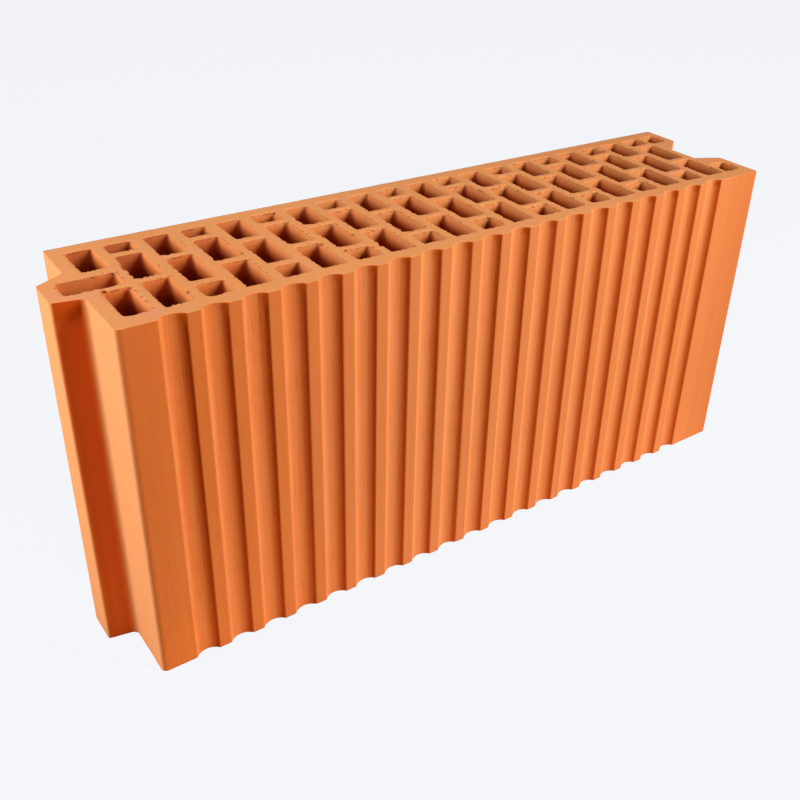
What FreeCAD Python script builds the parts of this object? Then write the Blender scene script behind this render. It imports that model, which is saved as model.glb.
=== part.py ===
import FreeCAD, Part
import enum
import math
import os
import Sketcher

# Hollow clay block: one fired piece, extruded upright through a die, so every wall, cell and groove
# runs straight from the bottom bed face to the top one.
# Working frame of the sketches: X along the block from its left end face, Y from the scalloped front
# face towards the plain back face, Z up from the bottom bed face.

# Driving dimensions in millimetres.
SIZES = {
    # Overall block, between its end faces and between its face sides
    "block_length": 498.0,
    "block_width": 115.0,
    "block_height": 238.0,
    "corner_radius": 1.2,
    "front_left_radius": 3.5,
    # Tongue on the left end; tip and root are shifted from the middle plane towards the back
    "tongue_length": 17.4,
    "tongue_tip_width": 23.8,
    "tongue_tip_shift": 0.4,
    "tongue_root_width": 36.4,
    "tongue_root_shift": 3.6,
    "tongue_tip_radius": 2.5,
    "tongue_root_radius": 4.5,
    # Groove in the right end: it takes the tongue of the next block, with its floor as wide as the
    # tongue's tip, and with room past the tip and on each side of the root
    "groove_end_gap": 2.2,
    "groove_side_gap": 6.3,
    "groove_radius": 2.0,
    # Scallops along the front face, which key the plaster
    "scallop_count": 19,
    "scallop_width": 15.4,
    "scallop_depth": 3.7,
    "left_margin": 22.3,
    "right_margin": 41.4,
    # Walls and webs around the cells
    "front_wall": 13.0,
    "back_wall": 10.2,
    "end_wall": 9.2,
    "groove_wall": 6.0,
    "first_web": 6.4,
    "row_web": 6.0,
    # Cells of the columns along the block, in two alternating layouts
    "cell_radius": 2.0,
    "cell_width": 16.4,
    "column_count": 10,
    "front_long_cell": 34.2,
    "back_short_cell": 12.6,
    "front_short_cell": 15.8,
    "back_long_cell": 29.0,
    # Cells beside the tongue, and the slot that runs out into it
    "first_cell_width": 15.6,
    "first_front_cell": 32.8,
    "slot_width": 16.0,
    "slot_end_wall": 9.2,
    # Cells in the two ears beside the groove
    "ear_wall": 6.8,
    "ear_cell_width": 14.0,
    "front_ear_cell": 15.5,
    "back_ear_cell": 15.0,
}

# Formulas that several sketches share.
MIDDLE = "Sizes.block_width / 2"
TIP_MIDDLE = f"{MIDDLE} + Sizes.tongue_tip_shift"
ROOT_MIDDLE = f"{MIDDLE} + Sizes.tongue_root_shift"
GROOVE_DEPTH = "(Sizes.tongue_length + Sizes.groove_end_gap)"
BACK_LINE = "(Sizes.block_width - Sizes.back_wall)"
FIRST_COLUMN = "(Sizes.end_wall + Sizes.first_cell_width + Sizes.first_web)"
LAST_COLUMN = f"(Sizes.block_length - {GROOVE_DEPTH} - Sizes.groove_wall - Sizes.cell_width)"
COLUMN_SPAN = f"({LAST_COLUMN} - {FIRST_COLUMN})"
COLUMN_STEP = f"({COLUMN_SPAN} / (2 * (Sizes.column_count - 1)))"
SLOT_MIDDLE = f"({TIP_MIDDLE} + {ROOT_MIDDLE}) / 2"

UP = FreeCAD.Vector(0, 0, 1)


class Axis(enum.IntEnum):
    """The sketch's own axes, by their numbers; the horizontal one starts at the origin."""
    HORIZONTAL = -1
    VERTICAL = -2


class LineEnd(enum.IntEnum):
    """The two ends of a line or an arc, by their numbers."""
    START = 1
    END = 2


def make_sheet(doc):
    """The sheet that holds every driving dimension under its own name."""
    sheet = doc.addObject("Spreadsheet::Sheet", "Sizes")
    for row, (name, value) in enumerate(SIZES.items(), start=1):
        sheet.set(f"A{row}", name)
        sheet.set(f"B{row}", str(value))
        sheet.setAlias(f"B{row}", name)
    doc.recompute()
    return sheet


def make_sketch(body, name):
    """An empty sketch on the bottom bed face."""
    sketch = body.newObject("Sketcher::SketchObject", name)
    bed = next(plane for plane in body.Origin.OriginFeatures if plane.Role == "XY_Plane")
    sketch.AttachmentSupport = [(bed, "")]
    sketch.MapMode = "FlatFace"
    return sketch


def number(sketch, formula):
    """The present value of a formula, to draw each line near its place."""
    return float(sketch.evalExpression(formula))


def dimension(sketch, formula, kind, *geometry):
    """One dimension of a sketch, tied to the sheet by its formula."""
    index = sketch.addConstraint(Sketcher.Constraint(kind, *geometry, number(sketch, formula)))
    name = f"size_{index}"
    sketch.renameConstraint(index, name)
    sketch.setExpression(f"Constraints.{name}", formula)


def place(sketch, geo, end, x_formula, y_formula):
    """Puts one end of a line at a point given by two formulas; 0 keeps it on the axis."""
    if x_formula == "0":
        sketch.addConstraint(Sketcher.Constraint("PointOnObject", geo, end, Axis.VERTICAL))
    else:
        dimension(sketch, x_formula, "DistanceX", Axis.HORIZONTAL, LineEnd.START, geo, end)
    if y_formula == "0":
        sketch.addConstraint(Sketcher.Constraint("PointOnObject", geo, end, Axis.HORIZONTAL))
    else:
        dimension(sketch, y_formula, "DistanceY", Axis.HORIZONTAL, LineEnd.START, geo, end)


def draw_outline(sketch, corners):
    """A closed outline of straight lines through named corners."""
    points = [FreeCAD.Vector(number(sketch, x), number(sketch, y), 0) for x, y in corners]
    lines = []
    for i, point in enumerate(points):
        following = points[(i + 1) % len(points)]
        lines.append(sketch.addGeometry(Part.LineSegment(point, following)))
    for i, line in enumerate(lines):
        following = lines[(i + 1) % len(lines)]
        sketch.addConstraint(Sketcher.Constraint("Coincident", line, LineEnd.END, following, LineEnd.START))
    for line, (x_formula, y_formula) in zip(lines, corners):
        place(sketch, line, LineEnd.START, x_formula, y_formula)


def draw_cell(sketch, left, front, width, length):
    """One rectangular cell with rounded corners, from its front left corner and its size."""
    radius = number(sketch, "Sizes.cell_radius")
    x0 = number(sketch, left)
    y0 = number(sketch, front)
    x1 = x0 + number(sketch, width)
    y1 = y0 + number(sketch, length)

    def line(xa, ya, xb, yb):
        segment = Part.LineSegment(FreeCAD.Vector(xa, ya, 0), FreeCAD.Vector(xb, yb, 0))
        return sketch.addGeometry(segment)

    def corner(x, y, quarter):
        """A quarter circle that starts at the given number of right angles."""
        right_angle = math.pi / 2
        circle = Part.Circle(FreeCAD.Vector(x, y, 0), UP, radius)
        arc = Part.ArcOfCircle(circle, quarter * right_angle, (quarter + 1) * right_angle)
        return sketch.addGeometry(arc)

    front_line = line(x0 + radius, y0, x1 - radius, y0)
    front_right = corner(x1 - radius, y0 + radius, 3)
    right_line = line(x1, y0 + radius, x1, y1 - radius)
    back_right = corner(x1 - radius, y1 - radius, 0)
    back_line = line(x1 - radius, y1, x0 + radius, y1)
    back_left = corner(x0 + radius, y1 - radius, 1)
    left_line = line(x0, y1 - radius, x0, y0 + radius)
    front_left = corner(x0 + radius, y0 + radius, 2)

    loop = [front_line, front_right, right_line, back_right,
            back_line, back_left, left_line, front_left]
    for i, piece in enumerate(loop):
        following = loop[(i + 1) % len(loop)]
        sketch.addConstraint(Sketcher.Constraint("Tangent", piece, LineEnd.END, following, LineEnd.START))
    for level in (front_line, back_line):
        sketch.addConstraint(Sketcher.Constraint("Horizontal", level))
    for upright in (left_line, right_line):
        sketch.addConstraint(Sketcher.Constraint("Vertical", upright))
    for arc in (front_right, back_right, back_left):
        sketch.addConstraint(Sketcher.Constraint("Equal", front_left, arc))
    dimension(sketch, "Sizes.cell_radius", "Radius", front_left)
    dimension(sketch, left, "DistanceX", Axis.HORIZONTAL, LineEnd.START, left_line, LineEnd.START)
    dimension(sketch, front, "DistanceY", Axis.HORIZONTAL, LineEnd.START, front_line, LineEnd.START)
    dimension(sketch, width, "DistanceX", left_line, LineEnd.START, right_line, LineEnd.START)
    dimension(sketch, length, "DistanceY", front_line, LineEnd.START, back_line, LineEnd.START)


def draw_scallop(sketch, left, width, depth):
    """One shallow round hollow in the front face, closed by its chord."""
    x0 = number(sketch, left)
    x1 = x0 + number(sketch, width)
    start = FreeCAD.Vector(x0, 0, 0)
    end = FreeCAD.Vector(x1, 0, 0)
    crown = FreeCAD.Vector((x0 + x1) / 2, number(sketch, depth), 0)
    # The arc is drawn from right to left, anticlockwise over its crown.
    arc = sketch.addGeometry(Part.Arc(end, crown, start))
    chord = sketch.addGeometry(Part.LineSegment(start, end))
    sketch.addConstraint(Sketcher.Constraint("Coincident", arc, LineEnd.END, chord, LineEnd.START))
    sketch.addConstraint(Sketcher.Constraint("Coincident", arc, LineEnd.START, chord, LineEnd.END))
    place(sketch, chord, LineEnd.START, left, "0")
    sketch.addConstraint(Sketcher.Constraint("Horizontal", chord))
    dimension(sketch, width, "DistanceX", chord, LineEnd.START, chord, LineEnd.END)
    dimension(sketch, f"({width} ^ 2 / 4 + {depth} ^ 2) / (2 * {depth})", "Radius", arc)


def round_uprights(body, name, feature, corners, radius_name):
    """Rounds the upright edges of a feature that stand over the given outline corners."""
    sheet = body.Document.getObject("Sizes")
    spots = [(number(sheet, x), number(sheet, y)) for x, y in corners]
    full_height = feature.Shape.BoundBox.ZLength
    tolerance = 0.01
    edges = []
    for index, edge in enumerate(feature.Shape.Edges, start=1):
        if edge.BoundBox.ZLength < full_height - tolerance:
            continue
        foot = edge.BoundBox.Center
        if any(math.hypot(foot.x - x, foot.y - y) < tolerance for x, y in spots):
            edges.append(f"Edge{index}")
    if len(edges) != len(spots):
        raise RuntimeError(f"{name}: found {len(edges)} upright edges of {len(spots)}")
    fillet = body.newObject("PartDesign::Fillet", name)
    fillet.Base = (feature, edges)
    fillet.setExpression("Radius", f"Sizes.{radius_name}")
    body.Document.recompute()
    return fillet


def cut_through(body, name, sketch):
    """Cuts a sketch through the whole height, and makes sure that it removed something."""
    before = body.Shape.Volume
    pocket = body.newObject("PartDesign::Pocket", name)
    pocket.Profile = sketch
    pocket.Type = "ThroughAll"
    pocket.Reversed = True
    sketch.Visibility = False
    body.Document.recompute()
    if not body.Shape.Volume < before:
        raise RuntimeError(f"{name} cuts nothing")
    return pocket


def repeat_along(body, name, pocket, count, span):
    """Repeats a cut along the block; count and span are formulas."""
    before = body.Shape.Volume
    pattern = body.newObject("PartDesign::LinearPattern", name)
    pattern.Originals = [pocket]
    pattern.Direction = (pocket.Profile[0], ["H_Axis"])
    pattern.setExpression("Length", span)
    pattern.setExpression("Occurrences", count)
    body.Tip = pattern
    body.Document.recompute()
    if not body.Shape.Volume < before:
        raise RuntimeError(f"{name} cuts nothing")
    return pattern


def outline_corners():
    """Corners of the block's section, anticlockwise from the front left, under plain names."""
    right_end = "Sizes.block_length"
    groove_floor = f"{right_end} - {GROOVE_DEPTH}"
    tongue_end = "-Sizes.tongue_length"
    half_tip = "Sizes.tongue_tip_width / 2"
    half_root = "Sizes.tongue_root_width / 2"
    return {
        "front_left": ("0", "0"),
        "front_right": (right_end, "0"),
        "mouth_front": (right_end, f"{ROOT_MIDDLE} - {half_root} - Sizes.groove_side_gap"),
        "floor_front": (groove_floor, f"{TIP_MIDDLE} - {half_tip}"),
        "floor_back": (groove_floor, f"{TIP_MIDDLE} + {half_tip}"),
        "mouth_back": (right_end, f"{ROOT_MIDDLE} + {half_root} + Sizes.groove_side_gap"),
        "back_right": (right_end, "Sizes.block_width"),
        "back_left": ("0", "Sizes.block_width"),
        "root_back": ("0", f"{ROOT_MIDDLE} + {half_root}"),
        "tip_back": (tongue_end, f"{TIP_MIDDLE} + {half_tip}"),
        "tip_front": (tongue_end, f"{TIP_MIDDLE} - {half_tip}"),
        "root_front": ("0", f"{ROOT_MIDDLE} - {half_root}"),
    }


def extrude_block(body):
    """The full section with tongue and groove, extruded to the block's height, its corners rounded."""
    corners = outline_corners()
    section = make_sketch(body, "Section")
    draw_outline(section, list(corners.values()))
    block = body.newObject("PartDesign::Pad", "Extrusion")
    block.Profile = section
    block.setExpression("Length", "Sizes.block_height")
    section.Visibility = False
    body.Document.recompute()

    roundings = {
        "BlockCorners": ("corner_radius", ["front_right", "back_right", "back_left"]),
        "FrontLeftCorner": ("front_left_radius", ["front_left"]),
        "TongueTip": ("tongue_tip_radius", ["tip_back", "tip_front"]),
        "TongueRoot": ("tongue_root_radius", ["root_back", "root_front"]),
        "Groove": ("groove_radius", ["mouth_front", "floor_front", "floor_back", "mouth_back"]),
    }
    feature = block
    for name, (radius_name, names) in roundings.items():
        feature = round_uprights(body, name, feature, [corners[n] for n in names], radius_name)


def cut_scallops(body):
    """The row of scallops between the plain margins of the front face."""
    sketch = make_sketch(body, "ScallopSketch")
    draw_scallop(sketch, "Sizes.left_margin", "Sizes.scallop_width", "Sizes.scallop_depth")
    scallop = cut_through(body, "Scallop", sketch)
    margins = "(Sizes.left_margin + Sizes.right_margin)"
    span = f"Sizes.block_length - {margins} - Sizes.scallop_width"
    repeat_along(body, "ScallopRow", scallop, "Sizes.scallop_count", span)


def draw_column(sketch, left, width, front_cell, back_cell):
    """A column of three cells: the front and back ones are given, the middle one fills the rest."""
    middle_front = f"Sizes.front_wall + {front_cell} + Sizes.row_web"
    middle_back = f"{BACK_LINE} - {back_cell} - Sizes.row_web"
    draw_cell(sketch, left, "Sizes.front_wall", width, front_cell)
    draw_cell(sketch, left, middle_front, width, f"{middle_back} - ({middle_front})")
    draw_cell(sketch, left, f"{BACK_LINE} - {back_cell}", width, back_cell)


def cut_columns(body):
    """Columns of cells in two layouts that take turns along the block, so the webs are staggered."""
    layouts = {
        "LongFront": (FIRST_COLUMN, "Sizes.front_long_cell", "Sizes.back_short_cell",
                      "Sizes.column_count", COLUMN_SPAN),
        "ShortFront": (f"{FIRST_COLUMN} + {COLUMN_STEP}", "Sizes.front_short_cell",
                       "Sizes.back_long_cell", "Sizes.column_count - 1",
                       f"{COLUMN_SPAN} - 2 * {COLUMN_STEP}"),
    }
    for name, (left, front_cell, back_cell, count, span) in layouts.items():
        sketch = make_sketch(body, f"{name}Sketch")
        draw_column(sketch, left, "Sizes.cell_width", front_cell, back_cell)
        column = cut_through(body, f"{name}Column", sketch)
        repeat_along(body, f"{name}Columns", column, count, span)


def cut_end_cells(body):
    """The cells beside the tongue with the slot that runs into it, and the cells of the two ears."""
    tongue_side = make_sketch(body, "TongueSideSketch")
    left = "Sizes.end_wall"
    width = "Sizes.first_cell_width"
    draw_cell(tongue_side, left, "Sizes.front_wall", width, "Sizes.first_front_cell")
    draw_cell(tongue_side, left, f"{BACK_LINE} - Sizes.back_long_cell", width,
              "Sizes.back_long_cell")
    slot_left = "Sizes.slot_end_wall - Sizes.tongue_length"
    slot_length = f"{left} + {width} - ({slot_left})"
    draw_cell(tongue_side, slot_left, f"{SLOT_MIDDLE} - Sizes.slot_width / 2", slot_length,
              "Sizes.slot_width")
    cut_through(body, "TongueSideCells", tongue_side)

    ears = make_sketch(body, "EarSketch")
    width = "Sizes.ear_cell_width"
    left = f"Sizes.block_length - Sizes.ear_wall - {width}"
    draw_cell(ears, left, "Sizes.front_wall", width, "Sizes.front_ear_cell")
    draw_cell(ears, left, f"{BACK_LINE} - Sizes.back_ear_cell", width, "Sizes.back_ear_cell")
    cut_through(body, "EarCells", ears)


def make_block(doc):
    """The block, moved so that the origin is under the middle of its whole length, tongue included."""
    body = doc.addObject("PartDesign::Body", "ClayBlock")
    body.Label = "clay_block"
    body.setExpression("Placement.Base.x", "(Sizes.tongue_length - Sizes.block_length) / 2")
    body.setExpression("Placement.Base.y", "-Sizes.block_width / 2")
    doc.recompute()
    extrude_block(body)
    cut_end_cells(body)
    cut_scallops(body)
    cut_columns(body)
    return body


def check(doc, body):
    """Stops unless every object of the document is sound and the block is one valid solid."""
    for item in doc.Objects:
        if "Invalid" in item.State or "Error" in item.State:
            raise RuntimeError(f"{item.Label} failed: {item.State}")
    shape = body.Shape
    if shape.isNull() or not shape.isValid():
        raise RuntimeError(f"{body.Label} has no valid shape")
    if len(shape.Solids) != 1:
        raise RuntimeError(f"{body.Label} is {len(shape.Solids)} solids")


document = FreeCAD.newDocument("HollowClayBlock")
make_sheet(document)
clay_block = make_block(document)
check(document, clay_block)
os.makedirs("parts", exist_ok=True)
clay_block.Shape.exportStep(f"parts/{clay_block.Label}.step")
box = clay_block.Shape.BoundBox
print(f"{clay_block.Label}: {box.XLength:.2f} x {box.YLength:.2f} x {box.ZLength:.2f} mm,"
      f" {clay_block.Shape.Volume / 1e6:.3f} litres, {len(clay_block.Shape.Faces)} faces")
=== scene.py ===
# %% [markdown]
# # A hollow clay block
# This lesson dresses one fired clay block for partition walls: an upright extrusion with 62 cells, a
# tongue on its left end, a groove in its right end and a scalloped front face. The construction comes
# packed as a fixed frame, which gives the block's place and overall size. Everything below is built
# around that frame, in metres, and nothing moves or resizes it.

# %% Load the frame
import math
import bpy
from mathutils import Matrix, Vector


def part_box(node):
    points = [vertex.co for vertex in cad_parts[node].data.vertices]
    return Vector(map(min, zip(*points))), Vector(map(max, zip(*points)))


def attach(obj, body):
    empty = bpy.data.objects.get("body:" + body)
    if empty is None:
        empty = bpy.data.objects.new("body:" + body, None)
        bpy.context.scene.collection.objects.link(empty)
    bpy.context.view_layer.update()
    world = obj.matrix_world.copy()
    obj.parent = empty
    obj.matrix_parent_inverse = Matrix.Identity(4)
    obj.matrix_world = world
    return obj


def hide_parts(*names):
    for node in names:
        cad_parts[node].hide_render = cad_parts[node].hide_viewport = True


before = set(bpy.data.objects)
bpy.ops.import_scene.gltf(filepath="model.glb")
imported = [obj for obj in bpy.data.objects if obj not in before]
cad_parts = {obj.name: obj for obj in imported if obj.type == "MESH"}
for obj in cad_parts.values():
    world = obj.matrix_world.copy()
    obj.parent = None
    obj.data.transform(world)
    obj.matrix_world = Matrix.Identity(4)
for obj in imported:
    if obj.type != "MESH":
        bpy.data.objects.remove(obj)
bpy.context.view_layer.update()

from types import SimpleNamespace

import bmesh
import bpy
from mathutils import Matrix, Vector

NODE = "clay_block"
BODY = "root"
low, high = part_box(NODE)
print(f"frame: {NODE} from {tuple(round(v, 4) for v in low)} to {tuple(round(v, 4) for v in high)}")

# %% [markdown]
# ## Sizes
# A die gives the block its section, so a few walls, webs and cell lengths fix every line of it. The
# overall size is read from the frame. The sizes inside the section are typed here in millimetres, as
# a block maker would give them, and turned into metres by one factor.

# %% Sizes of the section
MM = 0.001
FRONT, BACK = low.y, high.y
HEIGHT = high.z - low.z
MIDDLE = (FRONT + BACK) / 2
CORNER_RADIUS, FRONT_LEFT_RADIUS = 1.2 * MM, 3.5 * MM

TONGUE_LENGTH = 17.4 * MM
TONGUE_TIP_WIDTH, TONGUE_ROOT_WIDTH = 23.8 * MM, 36.4 * MM
TONGUE_TIP_RADIUS, TONGUE_ROOT_RADIUS = 2.5 * MM, 4.5 * MM
TIP_OFFSET, ROOT_OFFSET = 0.4 * MM, 3.6 * MM
GROOVE_TIP_GAP, GROOVE_SIDE_GAP = 2.2 * MM, 6.3 * MM
GROOVE_RADIUS = 2.0 * MM
LEFT_END, RIGHT_END = low.x + TONGUE_LENGTH, high.x

SCALLOP_COUNT = 19
SCALLOP_WIDTH, SCALLOP_DEPTH = 15.4 * MM, 3.7 * MM
LEFT_MARGIN, RIGHT_MARGIN = 22.3 * MM, 41.4 * MM

FRONT_WALL, BACK_WALL, END_WALL = 13.0 * MM, 10.2 * MM, 9.2 * MM
GROOVE_WALL, FIRST_WEB, ROW_WEB = 6.0 * MM, 6.4 * MM, 6.0 * MM
CELL_WIDTH, CELL_RADIUS = 16.4 * MM, 2.0 * MM
COLUMN_COUNT = 10
print(f"section: {RIGHT_END - LEFT_END:.3f} m between end faces")
print(f"section: {BACK - FRONT:.3f} m wide, {HEIGHT:.3f} m high")

# %% [markdown]
# ## A shorthand for node trees
# Geometry Nodes and shader nodes are wired by hand in the editor. In a script the same wiring soon
# becomes unreadable, so two helpers keep it short: `add` makes a node, sets its options and feeds its
# inputs, and `Field` lets a socket take part in plain arithmetic, adding one Math node per operator.
# A formula in the text then reads as a formula.

# %% Helpers for sockets and nodes


def plug(tree, socket, value):
    """Feeds a socket from another node, or with a plain value."""
    if isinstance(value, Field):
        value = value.socket
    if isinstance(value, bpy.types.NodeSocket):
        tree.links.new(value, socket)
    else:
        socket.default_value = value


def pick(sockets, name):
    """The socket in use that has this name; a name can repeat for each type of data."""
    return next(s for s in sockets if s.name == name and s.enabled)


def add(tree, kind, inputs, **options):
    """Makes a node, sets its options, then feeds the inputs that are named."""
    node = tree.nodes.new(kind)
    for name, value in options.items():
        setattr(node, name, value)
    for name, value in inputs.items():
        values = value if isinstance(value, list) else [value]
        for item in values:
            plug(tree, pick(node.inputs, name), item)
    return node


def out(node, name):
    """An output socket of a node, ready for arithmetic."""
    return Field(node.id_data, pick(node.outputs, name))


class Field:
    """A socket in arithmetic: each operator adds one Math node to its tree."""

    def __init__(self, tree, socket):
        self.tree = tree
        self.socket = socket

    def math(self, operation, *others):
        node = self.tree.nodes.new("ShaderNodeMath")
        node.operation = operation
        for index, value in enumerate((self, *others)):
            plug(self.tree, node.inputs[index], value)
        return Field(self.tree, node.outputs[0])

    def __add__(self, other):
        return self.math("ADD", other)

    def __sub__(self, other):
        return self.math("SUBTRACT", other)

    def __rsub__(self, other):
        return self.math("MULTIPLY_ADD", -1.0, other)

    def __mul__(self, other):
        return self.math("MULTIPLY", other)

    def __truediv__(self, other):
        return self.math("DIVIDE", other)

    __radd__ = __add__
    __rmul__ = __mul__

    def at_least(self, other):
        return self.math("MAXIMUM", other)

    def at_most(self, other):
        return self.math("MINIMUM", other)

    def unit(self):
        """Kept between 0 and 1."""
        return self.at_least(0.0).at_most(1.0)


print("helpers for sockets and nodes ready")

# %% Helpers for values and groups


def ramp(value, start, end):
    """0 at start and before it, 1 at end and past it, and a smooth change between them."""
    node = add(value.tree, "ShaderNodeMapRange", {"Value": value, "From Min": start, "From Max": end},
               interpolation_type="SMOOTHSTEP")
    return out(node, "Result")


def parts_of(vector):
    """X, Y and Z of a vector."""
    node = add(vector.tree, "ShaderNodeSeparateXYZ", {"Vector": vector})
    return [out(node, axis) for axis in "XYZ"]


def vector_of(tree, x, y, z):
    """A vector from three numbers or sockets."""
    return out(add(tree, "ShaderNodeCombineXYZ", {"X": x, "Y": y, "Z": z}), "Vector")


def scaled(vector, factor):
    """A vector times a number."""
    node = add(vector.tree, "ShaderNodeVectorMath", {"Vector": vector, "Scale": factor},
               operation="SCALE")
    return out(node, "Vector")


def noise(vector, size, seed, detail=2.0):
    """Smooth noise around 0.5 whose bumps are about this size in metres."""
    node = add(vector.tree, "ShaderNodeTexNoise",
               {"Vector": vector, "W": seed, "Scale": 1.0 / size, "Detail": detail},
               noise_dimensions="4D")
    return out(node, "Fac")


def new_group(name, inputs):
    """An empty Geometry Nodes tree with named inputs and one geometry output."""
    tree = bpy.data.node_groups.new(name, "GeometryNodeTree")
    tree.interface.new_socket("Geometry", in_out="OUTPUT", socket_type="NodeSocketGeometry")
    for label, kind in inputs.items():
        tree.interface.new_socket(label, in_out="INPUT", socket_type=f"NodeSocket{kind}")
    source = tree.nodes.new("NodeGroupInput")
    sockets = {label: Field(tree, source.outputs[label]) for label in inputs}
    return tree, sockets


def close_group(tree, geometry):
    """Sends the finished geometry out of the tree."""
    add(tree, "NodeGroupOutput", {"Geometry": geometry})


print("helpers for values and groups ready")

# %% [markdown]
# ## The outline of the section
# The block leaves the die as one endless bar, so its outline is a flat loop: an oblong with a tongue on
# the left and a groove on the right. The corners could be modelled as boxes and booleans, but booleans
# leave long uneven faces that take no fine relief. Here the loop is twelve vertices, clockwise seen from
# above, and each carries its own rounding as an attribute. The node tree rounds and refines it later.

# %% Corners of the outline
TIP_MIDDLE, ROOT_MIDDLE = MIDDLE + TIP_OFFSET, MIDDLE + ROOT_OFFSET
TIP_FRONT, TIP_BACK = TIP_MIDDLE - TONGUE_TIP_WIDTH / 2, TIP_MIDDLE + TONGUE_TIP_WIDTH / 2
ROOT_FRONT, ROOT_BACK = ROOT_MIDDLE - TONGUE_ROOT_WIDTH / 2, ROOT_MIDDLE + TONGUE_ROOT_WIDTH / 2
MOUTH_FRONT, MOUTH_BACK = ROOT_FRONT - GROOVE_SIDE_GAP, ROOT_BACK + GROOVE_SIDE_GAP
GROOVE_FLOOR = RIGHT_END - TONGUE_LENGTH - GROOVE_TIP_GAP
OUTLINE = [
    (LEFT_END, FRONT, FRONT_LEFT_RADIUS),
    (LEFT_END, ROOT_FRONT, TONGUE_ROOT_RADIUS),
    (low.x, TIP_FRONT, TONGUE_TIP_RADIUS),
    (low.x, TIP_BACK, TONGUE_TIP_RADIUS),
    (LEFT_END, ROOT_BACK, TONGUE_ROOT_RADIUS),
    (LEFT_END, BACK, CORNER_RADIUS),
    (RIGHT_END, BACK, CORNER_RADIUS),
    (RIGHT_END, MOUTH_BACK, GROOVE_RADIUS),
    (GROOVE_FLOOR, TIP_BACK, GROOVE_RADIUS),
    (GROOVE_FLOOR, TIP_FRONT, GROOVE_RADIUS),
    (RIGHT_END, MOUTH_FRONT, GROOVE_RADIUS),
    (RIGHT_END, FRONT, CORNER_RADIUS),
]


def polyline(name, points, closed):
    """An object of bare edges through points (x, y, rounding)."""
    mesh = bpy.data.meshes.new(name)
    count = len(points)
    edges = [(i, (i + 1) % count) for i in range(count if closed else count - 1)]
    mesh.from_pydata([(x, y, 0.0) for x, y, _ in points], edges, [])
    rounding = mesh.attributes.new("rounding", "FLOAT", "POINT")
    rounding.data.foreach_set("value", [r for _, _, r in points])
    obj = bpy.data.objects.new(name, mesh)
    bpy.context.scene.collection.objects.link(obj)
    return obj


block = polyline("fired_clay_block", OUTLINE, closed=True)
print(f"outline: {len(OUTLINE)} corners")

# %% [markdown]
# ## Scallops along the front
# Nineteen shallow round hollows run down the front face, so that plaster keys into it. They repeat at
# one step and each is an arc, so they follow a rule: at any point along the front, the depth depends
# only on the distance to the middle of the nearest scallop. The tree below pushes the points of the
# front in by that depth and then spaces them evenly again, so the crests between scallop and land stay
# as crisp as the die cuts them.

# %% Node tree: scalloped outline
OUTLINE_ARC_POINTS = 6
FRONT_TOLERANCE = 0.2 * MM


def position(tree):
    return out(tree.nodes.new("GeometryNodeInputPosition"), "Position")


def move(tree, geometry, offset):
    """Shifts every point by an offset."""
    return out(add(tree, "GeometryNodeSetPosition", {"Geometry": geometry, "Offset": offset}), "Geometry")


def respaced(tree, curve, spacing):
    """The same curve with points at one even distance."""
    node = add(tree, "GeometryNodeResampleCurve", {"Curve": curve, "Length": spacing}, mode="LENGTH")
    return out(node, "Curve")


def scallop_sag(along, given):
    """Depth of the hollow at a distance along the front from the first scallop's middle."""
    nearest = (along / given["Step"]).math("ROUND").at_least(0.0).at_most(given["Count"] - 1.0)
    aside = along - nearest * given["Step"]
    width, depth = given["Width"], given["Depth"]
    radius = (width * width / 4.0 + depth * depth) / (depth * 2.0)
    under_arc = (radius * radius - aside * aside).at_least(0.0).math("SQRT")
    return (under_arc - (radius - depth)).at_least(0.0)


def scalloped_outline():
    """Rounded outline with the row of scallops, as one closed curve."""
    tree, given = new_group("Scalloped outline", {
        "Corners": "Geometry", "Spacing": "Float", "Front": "Float", "First Middle": "Float",
        "Step": "Float", "Count": "Int", "Width": "Float", "Depth": "Float"})
    loop = add(tree, "GeometryNodeMeshToCurve", {"Mesh": given["Corners"]})
    rounding = add(tree, "GeometryNodeInputNamedAttribute", {"Name": "rounding"}, data_type="FLOAT")
    rounded = add(tree, "GeometryNodeFilletCurve", {
        "Curve": out(loop, "Curve"), "Count": OUTLINE_ARC_POINTS,
        "Radius": out(rounding, "Attribute")}, mode="POLY")
    curve = respaced(tree, out(rounded, "Curve"), given["Spacing"])

    x, y, _ = parts_of(position(tree))
    sag = scallop_sag(x - given["First Middle"], given)
    on_front = (y - given["Front"]).math("LESS_THAN", FRONT_TOLERANCE)
    curve = move(tree, curve, vector_of(tree, 0.0, sag * on_front, 0.0))

    close_group(tree, respaced(tree, curve, given["Spacing"]))
    return tree


outline_tree = scalloped_outline()
print(f"node tree: {outline_tree.name}, {len(outline_tree.nodes)} nodes")

# %% [markdown]
# ## Rows of cells
# Sixty-two upright cells lighten the block. Along it, columns of three take turns in two layouts, so
# the webs between them are staggered and heat takes a longer way through. One cell could be drawn
# and copied by hand, but a row is a rule too: a rounded rectangle, placed on points at one step. The
# small tree makes such a row, and the main tree uses it once for each row.

# %% Node tree: row of cells
CELL_ARC_POINTS = 4


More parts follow.
